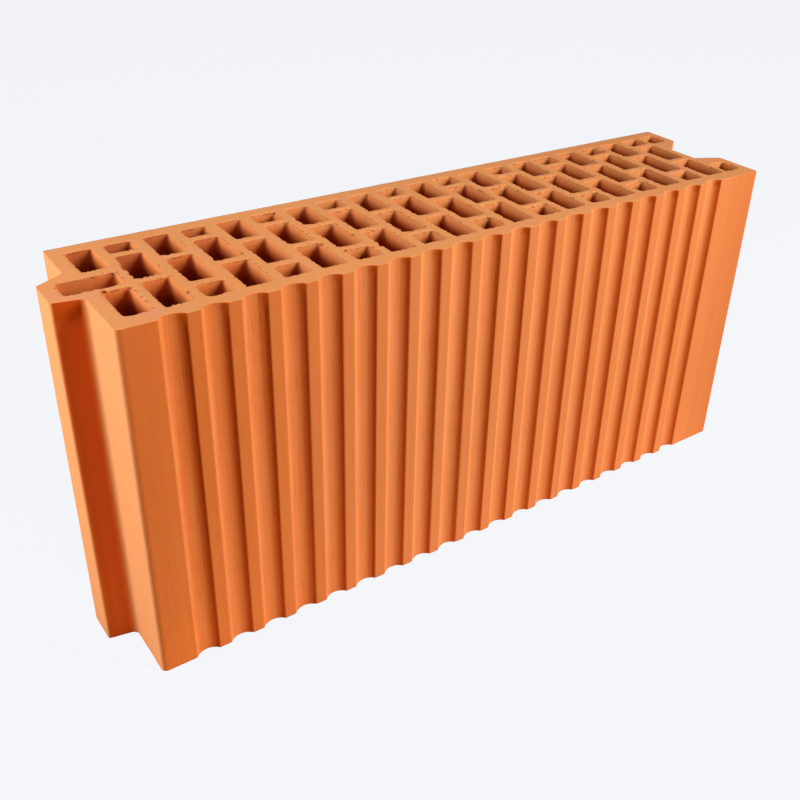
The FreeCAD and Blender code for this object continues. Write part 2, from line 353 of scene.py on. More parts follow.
def cell_row():
    """A row of rounded rectangles along the block, as closed curves."""
    tree, given = new_group("Row of cells", {
        "Left": "Float", "Front": "Float", "Width": "Float", "Length": "Float",
        "Rounding": "Float", "Count": "Int", "Step": "Float"})
    rectangle = add(tree, "GeometryNodeCurvePrimitiveQuadrilateral",
                    {"Width": given["Width"], "Height": given["Length"]}, mode="RECTANGLE")
    rounded = add(tree, "GeometryNodeFilletCurve", {
        "Curve": out(rectangle, "Curve"), "Count": CELL_ARC_POINTS,
        "Radius": given["Rounding"]}, mode="POLY")
    first_x = given["Left"] + given["Width"] / 2.0
    first_y = given["Front"] + given["Length"] / 2.0
    line = add(tree, "GeometryNodeMeshLine", {
        "Count": given["Count"], "Start Location": vector_of(tree, first_x, first_y, 0.0),
        "Offset": vector_of(tree, given["Step"], 0.0, 0.0)}, mode="OFFSET")
    copies = add(tree, "GeometryNodeInstanceOnPoints", {
        "Points": out(line, "Mesh"), "Instance": out(rounded, "Curve")})
    real = add(tree, "GeometryNodeRealizeInstances", {"Geometry": out(copies, "Instances")})
    close_group(tree, out(real, "Geometry"))
    return tree


row_tree = cell_row()
print(f"node tree: {row_tree.name}, {len(row_tree.nodes)} nodes")

# %% [markdown]
# ## Where the rows lie
# Each row needs the left and front side of its first cell, a width, a length and a count. In a column
# the front and the back cell have a length of their own and the middle one fills the rest between two
# webs. Beside the tongue stand two cells and a long slot that runs out into it, and each ear beside the
# groove has a small cell. The places could be typed one by one, but then a changed wall would have to be
# carried through by hand, so they are worked out from the walls and webs.

# %% Places of the rows
FIRST_CELL_WIDTH, FIRST_FRONT_CELL = 15.6 * MM, 32.8 * MM
FRONT_LONG_CELL, BACK_SHORT_CELL = 34.2 * MM, 12.6 * MM
FRONT_SHORT_CELL, BACK_LONG_CELL = 15.8 * MM, 29.0 * MM
SLOT_WIDTH, SLOT_END_WALL = 16.0 * MM, 9.2 * MM
EAR_CELL_WIDTH, EAR_WALL = 14.0 * MM, 6.8 * MM
EAR_FRONT_CELL, EAR_BACK_CELL = 15.5 * MM, 15.0 * MM

CELL_FRONT, CELL_BACK = FRONT + FRONT_WALL, BACK - BACK_WALL
FIRST_LEFT = LEFT_END + END_WALL
FIRST_COLUMN = FIRST_LEFT + FIRST_CELL_WIDTH + FIRST_WEB
LAST_COLUMN = GROOVE_FLOOR - GROOVE_WALL - CELL_WIDTH
COLUMN_STEP = (LAST_COLUMN - FIRST_COLUMN) / (2 * (COLUMN_COUNT - 1))
SLOT_LEFT = low.x + SLOT_END_WALL
SLOT_LENGTH = FIRST_LEFT + FIRST_CELL_WIDTH - SLOT_LEFT
SLOT_FRONT = (TIP_MIDDLE + ROOT_MIDDLE) / 2 - SLOT_WIDTH / 2
EAR_LEFT = RIGHT_END - EAR_WALL - EAR_CELL_WIDTH


def column_rows(left, front_length, back_length, count):
    """Front, middle and back row of one column layout."""
    middle_front = CELL_FRONT + front_length + ROW_WEB
    back_front = CELL_BACK - back_length
    middle_length = back_front - ROW_WEB - middle_front
    spans = [(CELL_FRONT, front_length), (middle_front, middle_length), (back_front, back_length)]
    return [(left, front, CELL_WIDTH, length, count) for front, length in spans]


ROWS = [
    *column_rows(FIRST_COLUMN, FRONT_LONG_CELL, BACK_SHORT_CELL, COLUMN_COUNT),
    *column_rows(FIRST_COLUMN + COLUMN_STEP, FRONT_SHORT_CELL, BACK_LONG_CELL, COLUMN_COUNT - 1),
    (FIRST_LEFT, CELL_FRONT, FIRST_CELL_WIDTH, FIRST_FRONT_CELL, 1),
    (FIRST_LEFT, CELL_BACK - BACK_LONG_CELL, FIRST_CELL_WIDTH, BACK_LONG_CELL, 1),
    (SLOT_LEFT, SLOT_FRONT, SLOT_LENGTH, SLOT_WIDTH, 1),
    (EAR_LEFT, CELL_FRONT, EAR_CELL_WIDTH, EAR_FRONT_CELL, 1),
    (EAR_LEFT, CELL_BACK - EAR_BACK_CELL, EAR_CELL_WIDTH, EAR_BACK_CELL, 1),
]
print(f"cells: {sum(row[-1] for row in ROWS)} in {len(ROWS)} rows, columns {COLUMN_STEP / MM:.2f} mm apart")

# %% [markdown]
# ## Fired clay
# The skin of an extruded block is matt, smooth and orange. Its end faces are painted paler, a painted
# highlight for the light that falls on them. The die left short upright scratches in the scallops. The
# bed faces are cut by a wire before firing: they are tan and grainy with pinkish patches, and dark where
# the wire tore crumbs out of a rim, partly the clay's own dark and partly painted shade in the torn pits.
# An image could carry all that, but it would need a layout on every wall. The colour here is worked out
# from the place on the block, the direction of the surface, and attributes that the mesh brings along:
# how far a point is torn, how near it lies to a rim, and whether it belongs to a cell.

# %% Colours of the clay


def srgb(red, green, blue):
    """A screen colour, 0 to 255, as the linear colour that shaders use."""
    def linear(level):
        share = level / 255
        return share / 12.92 if share <= 0.04045 else ((share + 0.055) / 1.055) ** 2.4
    return (linear(red), linear(green), linear(blue), 1.0)


SKIN_ORANGE = srgb(219, 111, 47)
SKIN_DARK = srgb(190, 94, 40)
SKIN_PALE_AND_LIT = srgb(226, 142, 86)
SCALLOP_PAINTED_SHADE = srgb(220, 90, 16)
FLANK_PAINTED_SHADE = srgb(240, 98, 26)
TOP_SHADE = srgb(188, 75, 15)
END_PAINTED_LIGHT = srgb(231, 152, 97)
INNER_PAINTED_LIGHT = srgb(215, 136, 80)
INNER_ORANGE = srgb(207, 112, 55)
INNER_PAINTED_SHADE = srgb(172, 88, 50)
BED_ORANGE = srgb(226, 146, 89)
BED_TAN = srgb(225, 150, 94)
BED_PINK = srgb(227, 147, 106)
BED_PAINTED_LIGHT = srgb(243, 160, 97)
TORN_DARK_AND_SHADE = srgb(92, 34, 16)
print("colours of the clay ready")

# %% Reading the surface
FRONT_SKIN = (FRONT + 6.0 * MM, FRONT + 5.0 * MM)
SCALLOP_SKIN = (FRONT + 0.3 * MM, FRONT + 1.5 * MM)
STREAK_SIZE, STREAK_STRETCH = 2.2 * MM, 0.04
SCRATCH_SIZE, SCRATCH_STRETCH = 0.7 * MM, 0.05
SCRATCH_RANGE, SCRATCHED_RANGE = (0.55, 0.75), (0.42, 0.62)
SCRATCHED_SIZE, PATCH_SIZE, CLOUD_SIZE = 40.0 * MM, 30.0 * MM, 55.0 * MM
GRAIN_SIZE, SPECK_SIZE = 0.9 * MM, 1.1 * MM


def mixed(tree, share, first, second):
    """Blend of two colours, 0 for the first and 1 for the second."""
    node = add(tree, "ShaderNodeMix", {"Factor": share, "A": first, "B": second}, data_type="RGBA")
    return out(node, "Result")


def brought_along(tree, name):
    """A value that the mesh keeps with each point."""
    return out(add(tree, "ShaderNodeAttribute", {}, attribute_name=name), "Fac")


def read_surface(tree):
    """Place, direction, attributes and patterns, from which the colours are mixed."""
    coordinates = tree.nodes.new("ShaderNodeTexCoord")
    place = out(coordinates, "Object")
    x, y, z = parts_of(place)
    normal_x, normal_y, normal_z = parts_of(out(coordinates, "Normal"))
    in_scallop = ramp(y, *SCALLOP_SKIN) * ramp(y, *FRONT_SKIN)
    scratches = noise(vector_of(tree, x, y, z * SCRATCH_STRETCH), SCRATCH_SIZE, seed=3.0)
    scratched = in_scallop * ramp(noise(place, SCRATCHED_SIZE, seed=11.0), *SCRATCHED_RANGE)
    return SimpleNamespace(
        x=x, y=y, z=z, normal_x=normal_x, normal_y=normal_y, normal_z=normal_z,
        depth=z.at_most(HEIGHT - z),
        torn=brought_along(tree, "torn"),
        rim=brought_along(tree, "rim"),
        hollow=brought_along(tree, "hollow"),
        in_scallop=in_scallop,
        marks=ramp(scratches, *SCRATCH_RANGE) * scratched,
        streaks=noise(vector_of(tree, x, y, z * STREAK_STRETCH), STREAK_SIZE, seed=5.0, detail=3.0),
        patches=noise(place, PATCH_SIZE, seed=7.0, detail=3.0),
        clouds=noise(place, CLOUD_SIZE, seed=8.0),
        grain=noise(place, GRAIN_SIZE, seed=9.0, detail=4.0),
        specks=noise(place, SPECK_SIZE, seed=13.0, detail=3.0))


print("surface reading ready")

# %% [markdown]
# ## Skin, cell walls and beds
# On the real block the left side of each scallop and the tongue's flank look deep red orange, most of all
# near the top, the skin looks paler to the right, the cell walls look pale at the rim and dark below, and
# the bed looks brighter along its middle. That is light and shade. It could be left to the lamps, but two
# plain lamps don't give its full depth, so it is painted into the clay here as deeper and paler tones, by
# place and direction on the block: painted shade on the shaded sides, the flank, their tops, the deeper
# cell walls and the back walls of the rear left cells, and painted light on the lit sides, towards the
# right, by the cell rims, on the end faces and along the middle of the bed.

# %% Colour of the skin
FACING_RIGHT, FACING_LEFT = (0.3, 0.7), (-0.15, -0.7)
FACING_FLANK, FACING_END = (-0.8, -0.95), (0.5, 0.95)
FRONT_FROM = (LEFT_END + 10.0 * MM, LEFT_END + 14.0 * MM)
FLANK_BAND = (LEFT_END, LEFT_END - 2.0 * MM)
LEFT_END_BAND = (LEFT_END + 3.0 * MM, LEFT_END + 1.0 * MM)
GROOVE_BAND = (GROOVE_FLOOR - 2.0 * MM, GROOVE_FLOOR)
FLANK_TOP = (HEIGHT - 18.0 * MM, HEIGHT - 5.0 * MM)
SCALLOP_TOP = (HEIGHT - 7.0 * MM, HEIGHT - 2.0 * MM)
MARGIN_BAND = (RIGHT_END - RIGHT_MARGIN, RIGHT_END)
LIT_DRIFT_ALONG = (-0.24, -0.02)
STREAK_RANGE, GRAIN_RANGE = (0.3, 0.7), (0.55, 0.8)
FLAT_STREAKS, SCALLOP_STREAKS = 0.1, 0.2
LIT_DRIFT_SHARE, LIT_SIDE_SHARE, SHADED_SIDE_SHARE, FLANK_SHADE_SHARE = 0.5, 0.4, 0.85, 0.6
MARGIN_SHARE, SKIN_GRAIN, SCRATCH_SHARE = 0.35, 0.12, 0.5


def skin_colour(tree, at):
    """Orange streaked skin with painted light to the right, on lit sides and end faces, painted shade on
    shaded sides.
    """
    on_front = ramp(at.y, *FRONT_SKIN) * ramp(at.x, *FRONT_FROM)
    lit_scallop_side = ramp(at.normal_x, *FACING_RIGHT) * on_front
    shaded_scallop_side = ramp(at.normal_x, *FACING_LEFT) * on_front
    on_flank = ramp(at.x, *FLANK_BAND) * ramp(at.normal_y, *FACING_FLANK)
    outer_end = ramp(at.x, *LEFT_END_BAND) + ramp(at.x, *GROOVE_BAND)
    on_end = ramp(at.normal_x.math("ABSOLUTE"), *FACING_END) * outer_end
    shaded_top = on_flank * ramp(at.z, *FLANK_TOP) + shaded_scallop_side * ramp(at.z, *SCALLOP_TOP)
    streaked = ramp(at.streaks, *STREAK_RANGE) * (at.in_scallop * SCALLOP_STREAKS + FLAT_STREAKS)
    lit_drift = ramp(at.x, *LIT_DRIFT_ALONG) * LIT_DRIFT_SHARE

    # Paler streaks are the clay's own; the drift to the right and the lit scallop sides are painted light.
    skin = mixed(tree, (streaked + lit_drift + lit_scallop_side * LIT_SIDE_SHARE).unit(), SKIN_ORANGE, SKIN_PALE_AND_LIT)
    # Painted shade on the shaded side of each scallop.
    skin = mixed(tree, shaded_scallop_side * SHADED_SIDE_SHARE, skin, SCALLOP_PAINTED_SHADE)
    # Painted shade on the tongue's front flank.
    skin = mixed(tree, on_flank * FLANK_SHADE_SHARE, skin, FLANK_PAINTED_SHADE)
    # Painted shade, deeper still, at the tops of the shaded sides and of the flank.
    skin = mixed(tree, shaded_top, skin, TOP_SHADE)
    skin = mixed(tree, ramp(at.x, *MARGIN_BAND) * MARGIN_SHARE, skin, SKIN_DARK)
    skin = mixed(tree, ramp(at.grain, *GRAIN_RANGE) * SKIN_GRAIN, skin, SKIN_DARK)
    skin = mixed(tree, at.marks * SCRATCH_SHARE, skin, SKIN_DARK)
    # Painted light: the end faces paler, as lit.
    return mixed(tree, on_end, skin, END_PAINTED_LIGHT)


print("skin ready")

# %% Colour of the cell walls
FACING_WALL = (-0.5, -0.9)
LIT_BACK_ALONG = (-0.2, 0.0)
SHADED_BACK_ALONG, SHADED_BACK_ACROSS = (-0.1, -0.2), (0.0, 0.03)
LIT_ALONG, LIT_LEAST, LIT_GAIN = (-0.21, -0.08), 0.3, 0.7
LIT_DEPTH, SHADE_DEPTH = (0.5 * MM, 4.0 * MM), (4.0 * MM, 16.0 * MM)
LIT_STRETCH, SHADED_BACK_SHARE = 1.5, 0.7


def cell_wall_colour(tree, at):
    """Clay inside the cells with painted light and shade: pale by the rim, deeper down where light gets in,
    dark below.
    """
    to_front = ramp(at.normal_y, *FACING_WALL)
    lit_back = to_front * ramp(at.x, *LIT_BACK_ALONG)
    shaded_back = to_front * ramp(at.x, *SHADED_BACK_ALONG) * ramp(at.y, *SHADED_BACK_ACROSS)
    lit_side = ramp(at.normal_x, *FACING_WALL)
    stretch = (lit_back + lit_side) * LIT_STRETCH + 1.0
    # Painted light: pale by the rim, reaching deeper on lit walls and more towards the right.
    pale = 1.0 - ramp(at.depth / stretch, *LIT_DEPTH)
    pale = pale * (ramp(at.x, *LIT_ALONG) * LIT_GAIN + LIT_LEAST).at_least(lit_side)

    wall = mixed(tree, pale, INNER_ORANGE, INNER_PAINTED_LIGHT)
    # Painted shade: darker with depth.
    wall = mixed(tree, ramp(at.depth, *SHADE_DEPTH), wall, INNER_PAINTED_SHADE)
    # Painted shade on the back walls of the rear left cells.
    return mixed(tree, shaded_back * SHADED_BACK_SHARE, wall, INNER_PAINTED_SHADE)


print("cell walls ready")

# %% Colour of the beds
FACING_BED = (0.6, 0.9)
CLOUD_RANGE, PATCH_RANGE = (0.4, 0.62), (0.5, 0.68)
LIT_MIDDLE_FROM, LIT_MIDDLE_TO = (-0.22, -0.1), (0.25, 0.05)
PATCH_SHARE, LIT_MIDDLE_SHARE, BED_GRAIN = 0.7, 0.6, 0.2
CRUMBLED_RANGE, CRUMBLED_LEAST, CRUMBLED_GAIN = (0.38, 0.56), 0.25, 0.75
SPECK_RANGE, RIM_RANGE = (0.7, 0.76), (0.05, 0.25)
RIM_LIFT, SPECK_SHARE = 0.2, 0.85


def bed_colour(tree, at):
    """Tan cut face with pinkish patches, and painted light a little brighter along the middle."""
    middle = ramp(at.x, *LIT_MIDDLE_FROM) * ramp(at.x, *LIT_MIDDLE_TO)
    bed = mixed(tree, ramp(at.clouds, *CLOUD_RANGE), BED_ORANGE, BED_TAN)
    bed = mixed(tree, ramp(at.patches, *PATCH_RANGE) * PATCH_SHARE, bed, BED_PINK)
    # Painted light: brighter along the middle of the bed.
    bed = mixed(tree, middle * LIT_MIDDLE_SHARE, bed, BED_PAINTED_LIGHT)
    return mixed(tree, ramp(at.grain, *GRAIN_RANGE) * BED_GRAIN, bed, SKIN_DARK)


def with_torn_and_shaded_spots(tree, at, colour):
    """Dark crumbly clay where a rim is torn, and dark specks close to it: partly the clay, partly painted
    shade.
    """
    # Partly dark torn clay, partly painted shade in the notches and pits.
    crumbled_and_shaded = at.torn * (ramp(at.specks, *CRUMBLED_RANGE) * CRUMBLED_GAIN + CRUMBLED_LEAST)
    colour = mixed(tree, crumbled_and_shaded, colour, TORN_DARK_AND_SHADE)
    # Partly dark crumbs, partly painted shade in small pits by the rims.
    specked_and_shaded = ramp(at.specks + at.rim * RIM_LIFT, *SPECK_RANGE) * ramp(at.rim, *RIM_RANGE)
    return mixed(tree, specked_and_shaded * SPECK_SHARE, colour, TORN_DARK_AND_SHADE)


print("beds ready")

# %% Material: fired clay
ROUGHNESS, SPECULAR = 0.9, 0.02
GRAIN_RELIEF, SCRATCH_RELIEF = 0.3, -0.8
RELIEF_DEPTH, RELIEF_STRENGTH = 0.25 * MM, 0.6


def fired_clay():
    """Matt orange clay with painted light and shade: smooth skin, ends painted paler, scratched scallops,
    tan beds with torn rims.
    """
    material = bpy.data.materials.new("fired_clay")
    material.use_nodes = True
    tree = material.node_tree
    shader = tree.nodes["Principled BSDF"]
    at = read_surface(tree)
    walls = mixed(tree, at.hollow, skin_colour(tree, at), cell_wall_colour(tree, at))
    on_bed = ramp(at.normal_z.math("ABSOLUTE"), *FACING_BED)
    colour = mixed(tree, on_bed, walls, bed_colour(tree, at))
    plug(tree, shader.inputs["Base Color"], with_torn_and_shaded_spots(tree, at, colour))
    shader.inputs["Roughness"].default_value = ROUGHNESS
    shader.inputs["Specular IOR Level"].default_value = SPECULAR

    relief = at.grain * GRAIN_RELIEF + at.marks * SCRATCH_RELIEF
    bump = add(tree, "ShaderNodeBump", {
        "Height": relief, "Distance": RELIEF_DEPTH, "Strength": RELIEF_STRENGTH})
    plug(tree, shader.inputs["Normal"], out(bump, "Normal"))
    return material


clay = fired_clay()
print(f"material: {clay.name}, {len(clay.node_tree.nodes)} nodes")

# %% [markdown]
# ## The block itself
# The section runs the whole height, so every wall is one of its curves swept along a profile. A plain
# extrusion would do for the walls, but not for the rims. The profile starts a little way in on the bottom
# bed, turns over the rim, climbs the wall and turns in again on the top bed, with more points at the top,
# where the rims are seen. The beds between those strips are the filled curves.

# %% Profiles of a wall
OUTLINE_SPACING, CELL_SPACING = 0.6 * MM, 0.7 * MM
OUTLINE_STRIP, CELL_STRIP = 1.2 * MM, 2.0 * MM
OUTLINE_DROPS, OUTLINE_RUNS = [1.2 * MM, 0.5 * MM], [0.0, 0.5 * MM, OUTLINE_STRIP]
CELL_DROPS, CELL_RUNS = [CELL_STRIP, 0.7 * MM], [0.0, 0.6 * MM, 1.3 * MM, CELL_STRIP]


def wall_profile(name, strip, top_drops, top_runs):
    """Points (distance into the clay, minus the height) from the bottom bed to the top bed."""
    bottom = [(strip, 0.0), (0.0, 0.0), (0.0, min(top_drops))]
    top = [(0.0, HEIGHT - drop) for drop in top_drops] + [(run, HEIGHT) for run in top_runs]
    return polyline(name, [(run, -height, 0.0) for run, height in bottom + top], closed=False)


outline_profile = wall_profile("outline_profile", OUTLINE_STRIP, OUTLINE_DROPS, OUTLINE_RUNS)
cell_profile = wall_profile("cell_profile", CELL_STRIP, CELL_DROPS, CELL_RUNS)
print(f"profiles: {len(outline_profile.data.vertices)} and {len(cell_profile.data.vertices)} points")

# %% [markdown]
# ## Torn rims
# The cutting wire drags through wet clay. It leaves every rim slightly round and jagged, bites larger
# crumbs out here and there, leaves drag marks on the back rims and corners, and pulls small pits into the
# bed behind the cells. Sculpting 62 rims by hand would take days. Noise does it here: it is read along each
# rim, pulls the nearest points into the clay and down, and leaves values with each point, from which the
# material knows what is torn, what lies near a rim and what lies inside a cell.

# %% Helpers for walls
WOBBLE_SIZE = 25.0 * MM


def fill_group(tree, group, inputs):
    """A group node for another tree, with its inputs fed."""
    node = add(tree, "GeometryNodeGroup", {}, node_tree=group)
    for name, value in inputs.items():
        plug(tree, node.inputs[name], value)
    return out(node, "Geometry")


def join(tree, geometries):
    return out(add(tree, "GeometryNodeJoinGeometry", {"Geometry": geometries}), "Geometry")


def store(tree, geometry, name, value, kind="FLOAT_VECTOR"):
    """Keeps a value with every point, for use after the next steps."""
    node = add(tree, "GeometryNodeStoreNamedAttribute", {}, data_type=kind, domain="POINT")
    for label, item in {"Geometry": geometry, "Name": name, "Value": value}.items():
        plug(tree, pick(node.inputs, label), item)
    return out(node, "Geometry")


def stored(tree, name):
    node = add(tree, "GeometryNodeInputNamedAttribute", {}, data_type="FLOAT_VECTOR")
    plug(tree, node.inputs["Name"], name)
    return out(node, "Attribute")


def wobbled(tree, given, curves):
    """Curves a little out of line, as from a worn die."""
    shift = add(tree, "ShaderNodeTexNoise", {
        "Vector": position(tree), "W": given["Seed"], "Scale": 1.0 / WOBBLE_SIZE,
        "Detail": 1.0}, noise_dimensions="4D")
    centred = add(tree, "ShaderNodeVectorMath", {"Vector": out(shift, "Color")}, operation="SUBTRACT")
    centred.inputs[1].default_value = (0.5, 0.5, 0.5)
    level = add(tree, "ShaderNodeVectorMath", {"Vector": out(centred, "Vector")}, operation="MULTIPLY")
    level.inputs[1].default_value = (1.0, 1.0, 0.0)
    return move(tree, curves, scaled(out(level, "Vector"), given["Wobble"]))


print("helpers for walls ready")

# %% Tearing the rims
CRUMB_SIZE, BITE_SIZE, PIT_SIZE, LINE_SIZE = 1.4 * MM, 6.0 * MM, 1.7 * MM, 2.0 * MM
DRAG_SIZE, CORNER_DRAG_SIZE, ROUGH_SIZE = 5.0 * MM, 3.0 * MM, 35.0 * MM
CRUMB_RANGE, BITE_RANGE, PIT_RANGE = (0.46, 0.66), (0.58, 0.68), (0.59, 0.66)
DRAG_RANGE, CORNER_DRAG_RANGE, ROUGH_RANGE = (0.48, 0.56), (0.4, 0.55), (0.38, 0.62)
CRUMB_DEPTH, BITE_DEPTH, PIT_DEPTH = 0.85 * MM, 1.2 * MM, 0.7 * MM
BURR, WEAR = 0.25 * MM, 0.42 * MM
ROUGH_LEAST, ROUGH_GAIN = 0.25, 0.75
LEFT_ROUGH_ALONG, RIGHT_LEAST, LEFT_GAIN = (0.12, -0.2), 0.8, 0.2
BACK_WEIGHT, BEHIND_LEAST, BEHIND_GAIN = 0.6, 0.15, 0.85
STRIP_START, STRIP_FADE = 0.5 * MM, 0.7
SINK_SHARE, CORNER_GAIN, RIM_LEAST = 0.6, 2.0, 0.2
TORN_DEPTH, TORN_SHARE = (0.3 * MM, 0.9 * MM), 0.8


def torn_rims(tree, given, walls, strip, damage):
    """Walls with worn, jagged and pitted rims, and the values that the material reads."""
    seed, height = given["Seed"], given["Height"]
    run, minus_level, _ = parts_of(stored(tree, "station"))
    level = 0.0 - minus_level
    drop = level.at_most(height - level)
    upper = level.math("GREATER_THAN", height / 2.0)
    root_x, root_y, _ = parts_of(stored(tree, "root"))
    inward_x, inward_y, _ = parts_of(stored(tree, "inward"))
    place_x, place_y, _ = parts_of(position(tree))
    rim_place = vector_of(tree, root_x, root_y, upper)
    bed_place = vector_of(tree, place_x, place_y, upper)

    rough = ramp(noise(rim_place, ROUGH_SIZE, seed + 6.0), *ROUGH_RANGE) * ROUGH_GAIN + ROUGH_LEAST
    damage = rough * (ramp(root_x, *LEFT_ROUGH_ALONG) * LEFT_GAIN + RIGHT_LEAST) * damage
    crumbs = ramp(noise(rim_place, CRUMB_SIZE, seed), *CRUMB_RANGE)
    bites = ramp(noise(rim_place, BITE_SIZE, seed + 1.0, detail=3.0), *BITE_RANGE)
    closeness = (1.0 - (run + drop) / strip).unit()
    chip = (crumbs * CRUMB_DEPTH + bites * BITE_DEPTH - BURR) * closeness * damage
    wear = closeness * closeness * WEAR * damage

    behind = (inward_x + inward_y * BACK_WEIGHT).unit() * BEHIND_GAIN + BEHIND_LEAST
    on_strip = ramp(run, 0.0, STRIP_START) * ramp(run, strip, strip * STRIP_FADE)
    pit = ramp(noise(bed_place, PIT_SIZE, seed + 4.0), *PIT_RANGE) * on_strip * behind * damage
    corner = inward_x.unit() * inward_y.unit() * CORNER_GAIN
    dragged = ramp(noise(rim_place, DRAG_SIZE, seed + 5.0, detail=3.0), *DRAG_RANGE) * inward_y.unit()
    dragged = dragged + ramp(noise(rim_place, CORNER_DRAG_SIZE, seed + 7.0), *CORNER_DRAG_RANGE) * corner
    dragged = dragged * drop.math("GREATER_THAN", 0.0)

    torn = ramp(chip, *TORN_DEPTH) * TORN_SHARE + pit + dragged * closeness * damage
    near_rim = (behind * on_strip + RIM_LEAST) * closeness * damage
    walls = store(tree, walls, "torn", torn.unit(), kind="FLOAT")
    walls = store(tree, walls, "rim", near_rim.unit(), kind="FLOAT")

    lines = noise(vector_of(tree, root_x, root_y, 0.0), LINE_SIZE, seed + 2.0) - 0.5
    push = chip + wear + lines * (1.0 - run / strip).unit() * given["Streak Depth"]
    sink = (chip * SINK_SHARE + wear + pit * PIT_DEPTH) * (1.0 - upper * 2.0)
    return move(tree, walls, vector_of(tree, inward_x * push, inward_y * push, sink))


def swept(tree, given, curves, profile, strip, damage, hollow):
    """Walls over closed curves, and the rings where the beds begin."""
    curves = wobbled(tree, given, curves)
    upright = add(tree, "GeometryNodeSetCurveNormal", {"Curve": curves}, mode="Z_UP")
    normal = out(tree.nodes.new("GeometryNodeInputNormal"), "Normal")
    curves = store(tree, out(upright, "Curve"), "inward", normal)
    curves = store(tree, curves, "root", position(tree))
    rings = move(tree, curves, scaled(stored(tree, "inward"), strip))

    drawn = add(tree, "GeometryNodeObjectInfo", {"Object": profile})
    line = add(tree, "GeometryNodeMeshToCurve", {"Mesh": out(drawn, "Geometry")})
    stations = store(tree, out(line, "Curve"), "station", position(tree))
    walls = add(tree, "GeometryNodeCurveToMesh", {"Curve": curves, "Profile Curve": stations})
    marked = store(tree, out(walls, "Mesh"), "hollow", hollow, kind="FLOAT")
    return torn_rims(tree, given, marked, strip, damage), rings


print("rims ready")

# %% Node tree: clay block
SCALLOP_SPAN = RIGHT_END - LEFT_END - LEFT_MARGIN - RIGHT_MARGIN - SCALLOP_WIDTH
OUTLINE_DAMAGE, CELL_DAMAGE = 0.2, 1.2
WELD_DISTANCE = 0.005 * MM


def clay_block():
    """The whole block: outline and cells swept, beds filled, all welded."""
    tree, given = new_group("Clay block", {
        "Corners": "Geometry", "Height": "Float", "Outline Spacing": "Float", "Cell Spacing": "Float",
        "Wobble": "Float", "Streak Depth": "Float", "Seed": "Float", "Finish": "Material"})
    outline = fill_group(tree, outline_tree, {
        "Corners": given["Corners"], "Spacing": given["Outline Spacing"], "Front": FRONT,
        "First Middle": LEFT_END + LEFT_MARGIN + SCALLOP_WIDTH / 2, "Count": SCALLOP_COUNT,
        "Step": SCALLOP_SPAN / (SCALLOP_COUNT - 1), "Width": SCALLOP_WIDTH, "Depth": SCALLOP_DEPTH})
    rows = []
    for left, front, width, length, count in ROWS:
        rows.append(fill_group(tree, row_tree, {
            "Left": left, "Front": front, "Width": width, "Length": length, "Rounding": CELL_RADIUS,
            "Count": count, "Step": 2 * COLUMN_STEP}))
    cells = respaced(tree, join(tree, rows), given["Cell Spacing"])

    outer_walls, outer_ring = swept(
        tree, given, outline, outline_profile, OUTLINE_STRIP, OUTLINE_DAMAGE, hollow=0.0)
    cell_walls, cell_rings = swept(
        tree, given, cells, cell_profile, CELL_STRIP, CELL_DAMAGE, hollow=1.0)
    rings = join(tree, [outer_ring, cell_rings])
    bed = add(tree, "GeometryNodeFillCurve", {"Curve": rings}, mode="TRIANGLES")
    top = add(tree, "GeometryNodeTransform", {
        "Geometry": out(bed, "Mesh"), "Translation": vector_of(tree, 0.0, 0.0, given["Height"])})
    bottom = add(tree, "GeometryNodeFlipFaces", {"Mesh": out(bed, "Mesh")})
    whole = join(tree, [outer_walls, cell_walls, out(top, "Geometry"), out(bottom, "Mesh")])
    welded = add(tree, "GeometryNodeMergeByDistance", {"Geometry": whole, "Distance": WELD_DISTANCE})
    real = add(tree, "GeometryNodeRealizeInstances", {"Geometry": out(welded, "Geometry")})
    finished = add(tree, "GeometryNodeSetMaterial", {
        "Geometry": out(real, "Geometry"), "Material": given["Finish"]})
    close_group(tree, out(finished, "Geometry"))
    return tree


block_tree = clay_block()
print(f"node tree: {block_tree.name}, {len(block_tree.nodes)} nodes")

# %% [markdown]
# ## From node tree to mesh
# A fired block is one solid lump, so its model has to be one closed mesh. The node tree could stay on
# the object as a live modifier, but another program can't run it. So it is run once with the block's
# values, the result is kept as a plain mesh, and its open edges and volume are printed.

# %% Block as a plain mesh
WOBBLE, STREAK_DEPTH, SEED = 0.5 * MM, 0.09 * MM, 4.0
LITRES = 1000


def evaluate(obj, tree, values):
    """Runs a node tree on an object and keeps the result as its plain mesh."""
    modifier = obj.modifiers.new(tree.name, "NODES")
    modifier.node_group = tree
    names = {item.name: item.identifier for item in tree.interface.items_tree if item.in_out == "INPUT"}
    for name, value in values.items():
        modifier[names[name]] = value
    graph = bpy.context.evaluated_depsgraph_get()
    mesh = bpy.data.meshes.new_from_object(obj.evaluated_get(graph))
    obj.modifiers.remove(modifier)
    obj.data = mesh


evaluate(block, block_tree, {
    "Height": HEIGHT, "Outline Spacing": OUTLINE_SPACING, "Cell Spacing": CELL_SPACING,
    "Wobble": WOBBLE, "Streak Depth": STREAK_DEPTH, "Seed": SEED, "Finish": clay})
for helper in (outline_profile, cell_profile):
    bpy.data.objects.remove(helper)

shape = bmesh.new()
shape.from_mesh(block.data)
open_edges = sum(not edge.is_manifold for edge in shape.edges)
triangles = sum(len(face.verts) - 2 for face in shape.faces)
volume = shape.calc_volume(signed=True) * LITRES
print(f"block: {triangles} triangles, {open_edges} open edges, {volume:.3f} litres")
shape.free()

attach(block, BODY)
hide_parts(NODE)

